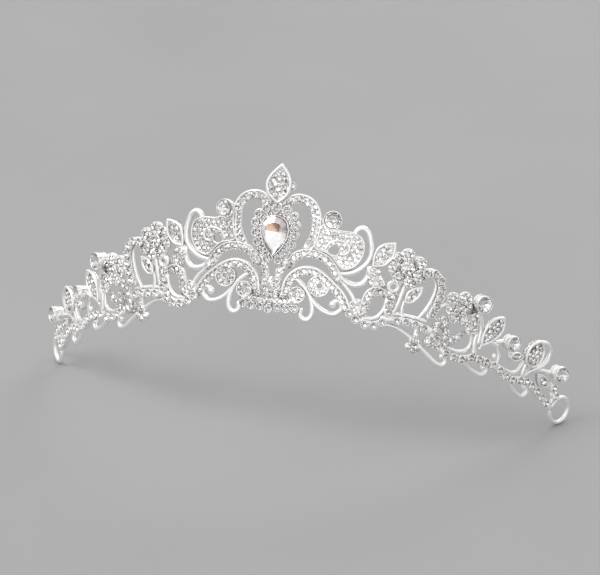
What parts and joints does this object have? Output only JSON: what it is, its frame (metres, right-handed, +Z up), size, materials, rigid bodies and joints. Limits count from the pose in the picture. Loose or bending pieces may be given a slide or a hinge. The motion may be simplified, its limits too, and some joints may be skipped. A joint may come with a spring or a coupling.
{
  "type": "bridal tiara",
  "caption": "Curved openwork bridal tiara of silver-plated scrolls, leaves and flowers set with clear rhinestones, with a pear stone, a leaf crest and a ring at each end.",
  "frame": {"origin": "middle of the lower edge, on the mid-surface of the castings, where the tiara meets the top of the forehead", "axes": "+X towards the wearer's left, +Y towards the back of the head, +Z up, as worn, with the plane of the lower edge tipped back 40 degrees"},
  "size_m": [0.157, 0.0415, 0.0824],
  "materials": {
    "casting_metal": "bright silver plating over cast alloy, slightly soft from casting",
    "wire_metal": "polished silver plating",
    "setting_metal": "polished silver plating",
    "crystal": "clear foil-backed faceted glass",
    "pave_crystal": "clear foil-backed faceted glass, small",
    "pear_crystal": "clear foil-backed faceted glass, large"
  },
  "bodies": {
    "root": {"arch_frame_left": "casting_metal", "arch_frame_right": "casting_metal", "cluster_frame_left": "casting_metal", "cluster_frame_right": "casting_metal", "crest_cup": "setting_metal", "crest_tray": "casting_metal", "curl_wires_left": "wire_metal", "curl_wires_right": "wire_metal", "end_band_left": "casting_metal", "end_band_right": "casting_metal", "end_ring_left": "wire_metal", "end_ring_right": "wire_metal", "fan_frame_left": "casting_metal", "fan_frame_right": "casting_metal", "flower_frame_left": "casting_metal", "flower_frame_right": "casting_metal", "heart_arch_left": "casting_metal", "heart_arch_right": "casting_metal", "hook_wires_left": "wire_metal", "hook_wires_right": "wire_metal", "horseshoe_frame_left": "casting_metal", "horseshoe_frame_right": "casting_metal", "inner_band_left": "casting_metal", "inner_band_right": "casting_metal", "leaf_one_tray_left": "casting_metal", "leaf_one_tray_right": "casting_metal", "leaf_three_tray_left": "casting_metal", "leaf_three_tray_right": "casting_metal", "leaf_two_tray_left": "casting_metal", "leaf_two_tray_right": "casting_metal", "loop_wires_left": "wire_metal", "loop_wires_right": "wire_metal", "middle_band_left": "casting_metal", "middle_band_right": "casting_metal", "middle_cups": "setting_metal", "middle_frame": "casting_metal", "middle_small_stones": "pave_crystal", "middle_stones": "crystal", "pear_collar": "setting_metal", "pear_stone": "pear_crystal", "row_cups_left": "setting_metal", "row_cups_right": "setting_metal", "scroll_frame_left": "casting_metal", "scroll_frame_right": "casting_metal", "set_stones_left": "crystal", "set_stones_right": "crystal", "small_leaf_trays_left": "casting_metal", "small_leaf_trays_right": "casting_metal", "small_stones_left": "pave_crystal", "small_stones_right": "pave_crystal", "stem_frame_left": "casting_metal", "stem_frame_right": "casting_metal", "stem_leaf_tray_left": "casting_metal", "stem_leaf_tray_right": "casting_metal", "tall_cups_left": "setting_metal", "tall_cups_right": "setting_metal", "twig_wires_left": "wire_metal", "twig_wires_right": "wire_metal", "vine_wires_left": "wire_metal", "vine_wires_right": "wire_metal"}
  },
  "joints": []
}
